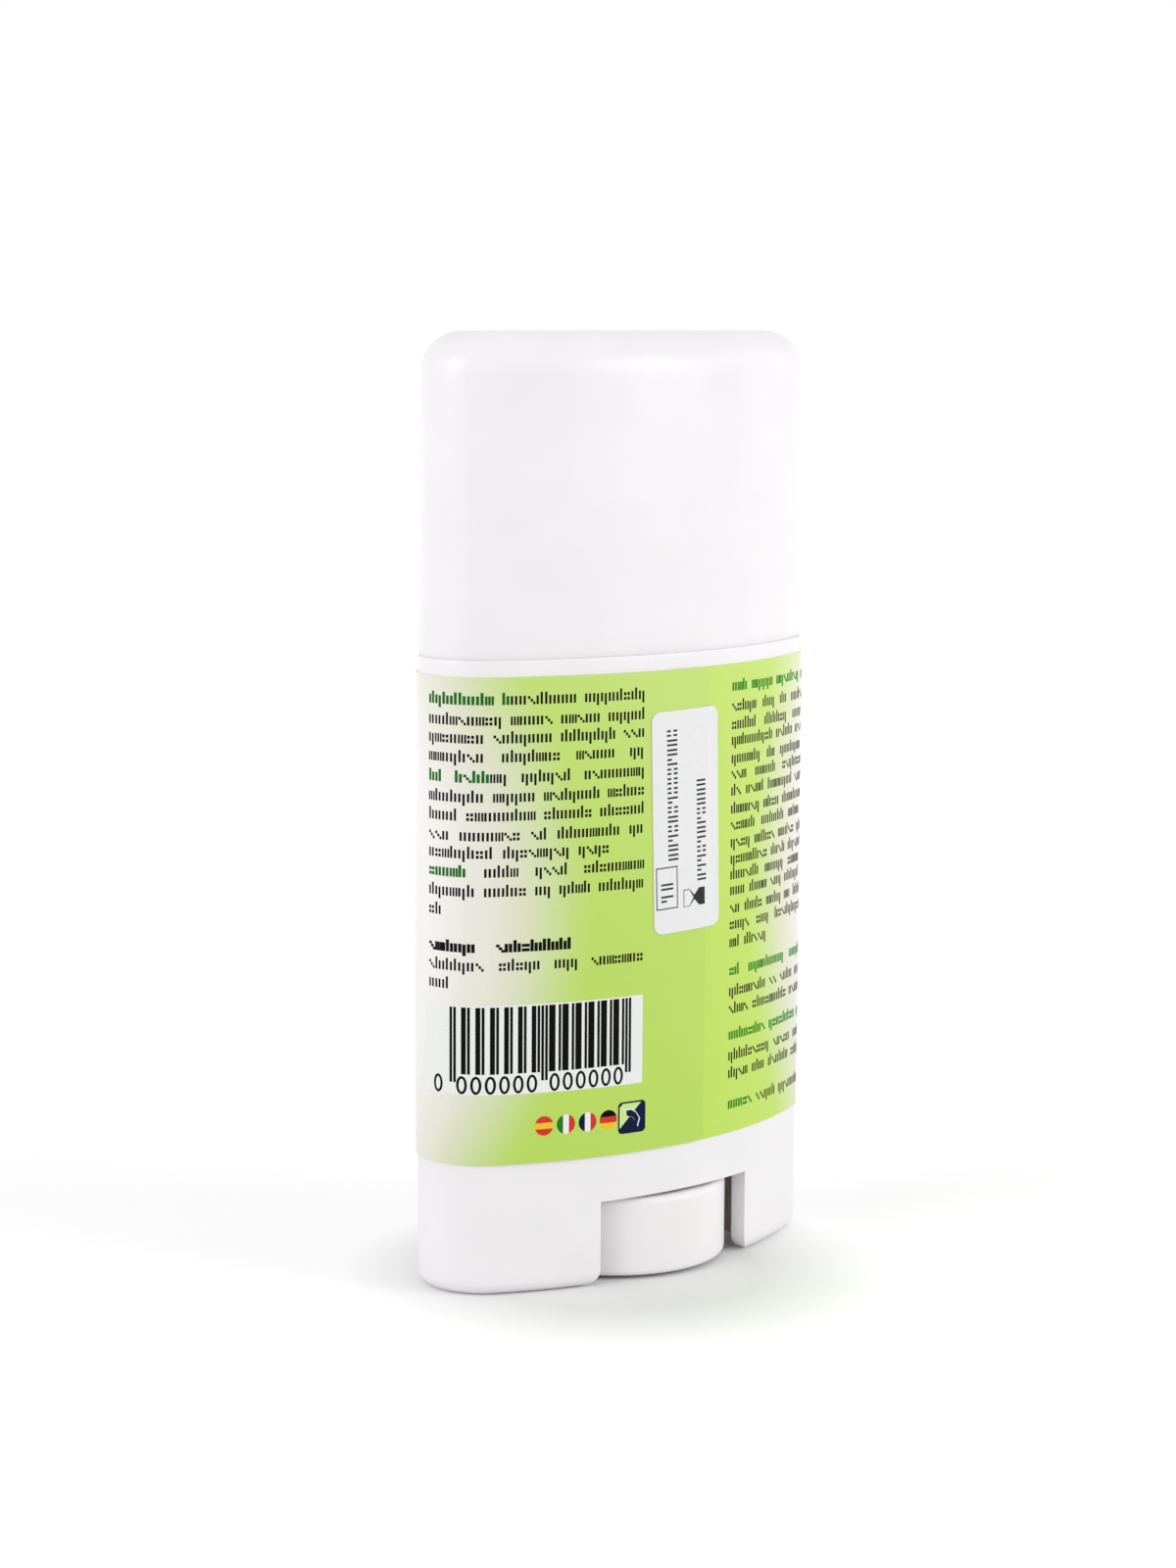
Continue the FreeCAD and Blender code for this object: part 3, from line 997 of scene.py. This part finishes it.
# %% Noughts
FIRST_NOUGHT = -35.95
NOUGHT_STARTS = (3.3, 50.1)
NOUGHT_FOOT = 26.68
NOUGHT_WIDE = 1.42
NOUGHT_TALL = 2.38
NOUGHT_LINE = 0.34


def zero_figure(bm, left):
    """A plain upright nought: a ring between two ovals."""
    rings = []
    middle = (left + NOUGHT_WIDE / 2, NOUGHT_FOOT + NOUGHT_TALL / 2, PANEL_OUT + INK)
    for shrink in (0.0, NOUGHT_LINE):
        place = set_at(middle, (NOUGHT_WIDE / 2 - shrink, NOUGHT_TALL / 2 - shrink, 1))
        made = bmesh.ops.create_circle(bm, segments=20, radius=1.0, matrix=place)
        rings.append({edge for vert in made["verts"] for edge in vert.link_edges})
    bmesh.ops.bridge_loops(bm, edges=list(rings[0] | rings[1]))


def make_zeros():
    bm = bmesh.new()
    places = [FIRST_NOUGHT]
    for start in NOUGHT_STARTS:
        places += [STRIPES_LEFT + (start + 7 * index) * STRIPE for index in range(6)]
    for left in places:
        zero_figure(bm, left)
    look_outwards(bm)
    thicken(bm, INK)
    finish_print(bm, "code_noughts", [BLACK_INK])


make_zeros()

# %% [markdown]
# ## Coloured discs
# Four small discs stand in a row under the code, each in three bands, level or upright. A disc is a filled
# circle that two planes cut, and each band takes its own ink.

# %% Banded discs
DISCS = (
    (-21.2, "level", (0, 1, 0)),
    (-18.2, "upright", (2, 3, 0)),
    (-15.15, "upright", (4, 3, 0)),
    (-12.15, "level", (1, 0, 5)),
)
DISC_INKS = [RED_INK, YELLOW_INK, LEAF_GREEN_INK, WHITE_INK, NAVY_INK, BLACK_INK]
DISC_HEIGHT = 22.2
DISC_RADIUS = 1.27
HALF_BAND = 0.4


def banded_disc(bm, way, height, bands, inks):
    """A disc in three bands, laid level or upright."""
    known = set(bm.faces)
    place = Matrix.Translation((way, height, LEAF_OUT + INK))
    bmesh.ops.create_circle(bm, cap_ends=True, segments=36, radius=DISC_RADIUS, matrix=place)
    across = Vector((1, 0, 0)) if bands == "upright" else Vector((0, 1, 0))
    centre = Vector((way, height, 0))
    for offset in (-HALF_BAND, HALF_BAND):
        fresh = [face for face in bm.faces if face not in known]
        parts = fresh + list({e for f in fresh for e in f.edges}) + list({v for f in fresh for v in f.verts})
        bmesh.ops.bisect_plane(bm, geom=parts, plane_co=centre + across * offset, plane_no=across)
    for face in bm.faces:
        if face not in known:
            offset = (face.calc_center_median() - centre).dot(across)
            face.material_index = inks[0 if offset < -HALF_BAND else 2 if offset > HALF_BAND else 1]


def make_discs():
    bm = bmesh.new()
    for way, bands, inks in DISCS:
        banded_disc(bm, way, DISC_HEIGHT, bands, inks)
    cut_columns(bm)
    thicken(bm, INK)
    finish_print(bm, "banded_discs", DISC_INKS)


make_discs()

# %% [markdown]
# ## The peel mark
# A dark rounded square with a pale page and a turned-up corner marks where the leaf is lifted. Each layer
# is one flat face a hair above the last. The curl is drawn twice, light and then dark a little smaller, so
# that it keeps a light outline. All layers are cut into columns and thickened together.

# %% Peel mark
PEEL_LEFT = -10.7
PEEL_BOTTOM = 20.05
PEEL_SIZE = 4.2
PEEL_CORNER = 0.6
CURL_SHRINK = 0.84


def flat_shape(bm, points, out, finish):
    """A flat face through a few corners, turned to look out of the barrel."""
    face = bm.faces.new([bm.verts.new((x, y, out)) for x, y in points])
    face.normal_update()
    if face.normal.z < 0:
        face.normal_flip()
    face.material_index = finish
    return face


def make_peel_mark():
    bm = bmesh.new()
    left, bottom = PEEL_LEFT, PEEL_BOTTOM
    right, top = left + PEEL_SIZE, bottom + PEEL_SIZE
    level = LEAF_OUT + INK
    rounded_sheet(bm, left, bottom, right, top, PEEL_CORNER, level)
    flat_shape(bm, ((left + 0.22, bottom + 0.7), (right - 0.7, top - 0.22), (left + 0.7, top - 0.22),
                    (left + 0.22, top - 0.7)), level + INK, 1)
    curl = [(left + 0.95, top - 1.0), (left + 1.9, top - 0.95), (left + 2.8, top - 1.5),
            (left + 3.35, top - 2.4), (left + 3.0, top - 3.5), (left + 2.6, top - 2.6),
            (left + 2.1, top - 2.1), (left + 1.1, top - 1.8)]
    flat_shape(bm, curl, level + 2 * INK, 2)
    middle = Vector((sum(x for x, _ in curl) / len(curl), sum(y for _, y in curl) / len(curl)))
    inner = [tuple(middle + (Vector(spot) - middle) * CURL_SHRINK) for spot in curl]
    flat_shape(bm, inner, level + 3 * INK, 0)
    cut_columns(bm, 0.45)
    look_outwards(bm)
    thicken(bm, INK)
    finish_print(bm, "peel_mark", [NAVY_INK, PALE_INK, WHITE_INK])


make_peel_mark()

# %% [markdown]
# ## The sticker
# A small paper sticker is put on after filling, a little crooked, and it also holds the leaf's free edge
# down. It steps down where it passes that edge. It is laid out upright and turned before it is cut into
# columns, so that it still bends along upright lines. Coated paper has a faint fibre in it.

# %% Sticker
STICKER_MIDDLE = (0.08, 60.48, 0)
STICKER_WIDE = 11.55
STICKER_TALL = 29.1
STICKER_TURN = 0.025
STICKER_CORNER = 1.25
SETTLES_OVER = 0.9
STICKER_OUT = LEAF_OUT + GLUE + FILM


def coated_paper():
    material, tree, output = start_material("coated_paper")
    fibre = spread(tree, grain(tree, 1500.0, 5.0, 0.7), 0.0, 1.0)
    colour = blend_colours(tree, fibre, chart(227, 227, 228), chart(232, 232, 233))
    surface = bumps(tree, grain(tree, 2400.0, 4.0, 0.7), 0.18, 0.00002)
    roughness = spread(tree, grain(tree, 800.0, 3.0), 0.48, 0.6)
    sockets = {"Base Color": colour, "Roughness": roughness, "Normal": surface, "IOR": 1.48}
    principled(tree, output, sockets)
    return material


STICKER_PAPER = coated_paper()


def turn_askew(bm):
    """Turns flat work about the sticker's middle, by as much as the sticker was put on crooked."""
    skew = Matrix.Rotation(STICKER_TURN, 3, "Z")
    bmesh.ops.rotate(bm, verts=bm.verts, cent=STICKER_MIDDLE, matrix=skew)


def settle_over_seam(bm):
    """Lets the sticker step down past the leaf's free edge."""
    for vert in bm.verts:
        past = min(max((vert.co.x - SEAM) / SETTLES_OVER, 0.0), 1.0)
        vert.co.z -= (FILM + GLUE) * past * past * (3 - 2 * past)


def make_sticker():
    bm = bmesh.new()
    way, height, _ = STICKER_MIDDLE
    across, up = STICKER_WIDE / 2, STICKER_TALL / 2
    rounded_sheet(bm, way - across, height - up, way + across, height + up, STICKER_CORNER, STICKER_OUT)
    turn_askew(bm)
    cut_columns(bm, 0.3)
    thicken(bm, FILM)
    settle_over_seam(bm)
    piece = finish_print(bm, "batch_sticker", [STICKER_PAPER])
    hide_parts("lot_sticker")


make_sticker()

# %% [markdown]
# ## The stamp on the sticker
# The stamp is a dummy too: two rows of grey bars and dots that run up the sticker, a small frame with a few
# more in it, and an hourglass on its side. It is turned and settled over the leaf's edge with the paper.

# %% Stamp
STAMP_MARKS = (
    ((0.08, 0.0, 1.0), (0.66, 0.0, 1.0)),
    ((0.08, 0.0, 1.0), (0.66, 0.55, 0.45)),
    ((0.08, 0.55, 0.45), (0.66, 0.0, 1.0)),
    ((0.08, 0.0, 0.38), (0.08, 0.62, 0.38), (0.66, 0.0, 0.38), (0.66, 0.62, 0.38)),
)


def upward_row(bm, foot, head, base, tall, dice, cell=1.25):
    """Bars and dots that run up the sticker; `base` is the way round that their feet stand on."""
    height = foot
    while height < head - cell * 0.7:
        for up, near, length in dice.choice(STAMP_MARKS):
            slab(bm, base - (near + length) * tall, height + up, length * tall, 0.26, STICKER_OUT, 0)
        height += cell


def frame_lines(bm, left, bottom, right, top, line):
    """A frame of four thin lines."""
    wide, tall = right - left, top - bottom
    lines = ((left, bottom, wide, line), (left, top - line, wide, line),
             (left, bottom, line, tall), (right - line, bottom, line, tall))
    for line_at in lines:
        slab(bm, *line_at, STICKER_OUT, 0)


def hourglass(bm, left, bottom, right, top):
    """An hourglass on its side: an open bulb on the left and a full one on the right."""
    middle = (bottom + top) / 2
    centre = (left + right) / 2
    for outer, level, finish, line in ((left, 1, 0, 0.0), (left, 2, 1, 0.10), (right, 1, 0, 0.0)):
        way = math.copysign(1.0, centre - outer)
        shoulder = outer + way * abs(centre - outer) * 0.55
        corners = ((outer + way * line, bottom + line), (shoulder - way * line / 2, bottom + line),
                   (centre + way * (0.25 - 4.5 * line), middle - 0.03),
                   (centre + way * (0.25 - 4.5 * line), middle + 0.03),
                   (shoulder - way * line / 2, top - line), (outer + way * line, top - line))
        face = flat_shape(bm, corners, STICKER_OUT + level * INK, finish)
        bmesh.ops.solidify(bm, geom=[face], thickness=INK)


def make_stamp():
    bm = bmesh.new()
    dice = random.Random(37)
    upward_row(bm, 55.4, 72.8, -1.62, 1.7, dice)
    upward_row(bm, 52.2, 65.9, 3.28, 1.6, dice)
    frame_lines(bm, -5.35, 49.15, -1.8, 54.7, 0.15)
    upward_row(bm, 50.0, 54.2, -2.55, 2.0, dice, 1.6)
    hourglass(bm, -0.8, 49.05, 3.0, 51.35)
    turn_askew(bm)
    cut_columns(bm)
    settle_over_seam(bm)
    finish_print(bm, "sticker_stamp", [GREY_INK, STICKER_PAPER])


make_stamp()

# %% [markdown]
# ## The floor
# The floor is a plain pale sheet. Its own colour takes the object's shadow. For the camera it also glows a
# little, less near the foot and more away from it, which paints a darker shadow pool round the foot and
# over-lit white paper further out. That glow is kept from the object, which would otherwise be lit from
# below.

# %% Floor
# Middle of the painted shadow pool that the floor's glow leaves round the foot, in metres.
PAINTED_SHADOW_MIDDLE = (-0.006, -0.008, 0.0)


def seen_share(tree):
    """1 on the rays that make the picture, straight or mirrored or through glass, and 0 on plain light."""
    rays = step(tree, "LightPath")
    seen = sums(tree, "MAXIMUM", rays.outputs["Is Camera Ray"], rays.outputs["Is Glossy Ray"])
    return sums(tree, "MAXIMUM", seen, rays.outputs["Is Transmission Ray"])


def floor_paper():
    material, tree, output = start_material("floor_paper")
    place = step(tree, "TexCoord").outputs["Object"]
    reach = step(tree, "VectorMath", {0: place, 1: PAINTED_SHADOW_MIDDLE}, operation="DISTANCE").outputs["Value"]
    # Painted shadow: the floor's own glow is weakest near the foot and grows outwards from it.
    near = spread(tree, reach, 0.0, 0.30, 0.019, 0.037)
    far = spread(tree, reach, 0.0, 0.70, 0.2, 0.8)
    tone = spread(tree, grain(tree, 900.0, 4.0), 0.78, 0.80)
    tint = step(tree, "CombineColor", {0: tone, 1: tone, 2: tone})
    paper = step(tree, "BsdfDiffuse", {"Color": tint.outputs[0]})
    painted_shadow_lift = sums(tree, "MULTIPLY", seen_share(tree), sums(tree, "ADD", near, far))
    painted_shadow_glow = step(tree, "Emission", {"Color": (1, 1, 1, 1), "Strength": painted_shadow_lift})
    both = step(tree, "AddShader", {0: paper.outputs[0], 1: painted_shadow_glow.outputs[0]})
    tree.links.new(both.outputs[0], output.inputs[0])
    return material


def make_floor():
    bm = bmesh.new()
    bmesh.ops.create_grid(bm, x_segments=1, y_segments=1, size=6.0)
    mesh = mesh_of(bm, "floor")
    mesh.materials.append(floor_paper())
    floor = set_out("floor", mesh)
    print("floor made")


make_floor()

# %% [markdown]
# ## The light
# The object stands in even light from all round, and large soft lamps on both sides model its shape. The
# world shows white wherever the camera or a gloss looks at it, but gives less light than that white would,
# so that the whites of the object keep their shading.

# %% World and lamps
OBJECT_MIDDLE = Vector((0, 0, 0.06))


def make_world(level):
    """White for the camera and reflections, and a plainer level for the light that it gives."""
    world = bpy.data.worlds.new("studio")
    bpy.context.scene.world = world
    world.use_nodes = True
    tree = world.node_tree
    tree.nodes.clear()
    plain = step(tree, "Background", {"Color": (1, 1, 1, 1), "Strength": level})
    white = step(tree, "Background", {"Color": (1, 1, 1, 1), "Strength": 1.0})
    mix = step(tree, "MixShader", {0: seen_share(tree), 1: plain.outputs[0], 2: white.outputs[0]})
    step(tree, "OutputWorld", {0: mix.outputs[0]})


def soft_box(name, place, size, power):
    """A square lamp that faces the middle of the object."""
    data = bpy.data.lights.new(name, "AREA")
    data.shape = "SQUARE"
    data.size = size
    data.energy = power
    lamp = set_out(name, data)
    lamp.location = place
    aim = OBJECT_MIDDLE - Vector(place)
    lamp.rotation_mode = "QUATERNION"
    lamp.rotation_quaternion = aim.to_track_quat("-Z", "Y")
    print(name, "at", place, "power", power)


make_world(0.69)
soft_box("left_box", (-0.95, 0.10, 0.45), 0.6, 3.8)
soft_box("right_box", (0.50, -0.85, 0.42), 0.6, 3.9)
soft_box("side_box", (0.95, -0.30, 0.40), 0.6, 0.7)

# %% [markdown]
# ## The camera
# The camera stands where the photographer stood: 41.5 degrees to the left of the printed face, a little
# above the cap, looking a little down. Its place, turns and focal length were solved together with the
# object's shape, from edges in the photograph, in metres, radians and the photograph's own pixels.

# %% Camera
CAMERA_TURN = 0.7243
CAMERA_AWAY = 0.46664
EYE_HEIGHT = 0.12738
LOOK_ASIDE = 0.00748
LOOK_DOWN = 0.1357
ROLL = 0.0057
FOCAL_PIXELS = 3613.36
PHOTO_PIXELS = 1600
SENSOR = 36.0


def make_camera():
    data = bpy.data.cameras.new("photo_camera")
    data.sensor_width = SENSOR
    data.lens = FOCAL_PIXELS * SENSOR / PHOTO_PIXELS
    data.clip_start = 0.01
    data.clip_end = 20.0
    camera = set_out("photo_camera", data)
    across = -math.sin(CAMERA_TURN) * CAMERA_AWAY
    before = -math.cos(CAMERA_TURN) * CAMERA_AWAY
    camera.location = (across, before, EYE_HEIGHT)
    swing = Matrix.Rotation(LOOK_ASIDE - CAMERA_TURN, 4, "Z")
    tilt = Matrix.Rotation(math.pi / 2 - LOOK_DOWN, 4, "X")
    roll = Matrix.Rotation(ROLL, 4, "Z")
    camera.rotation_euler = (swing @ tilt @ roll).to_euler()
    bpy.context.scene.camera = camera
    print("camera lens", round(data.lens, 2))


make_camera()
bpy.context.scene.view_settings.view_transform = "Standard"
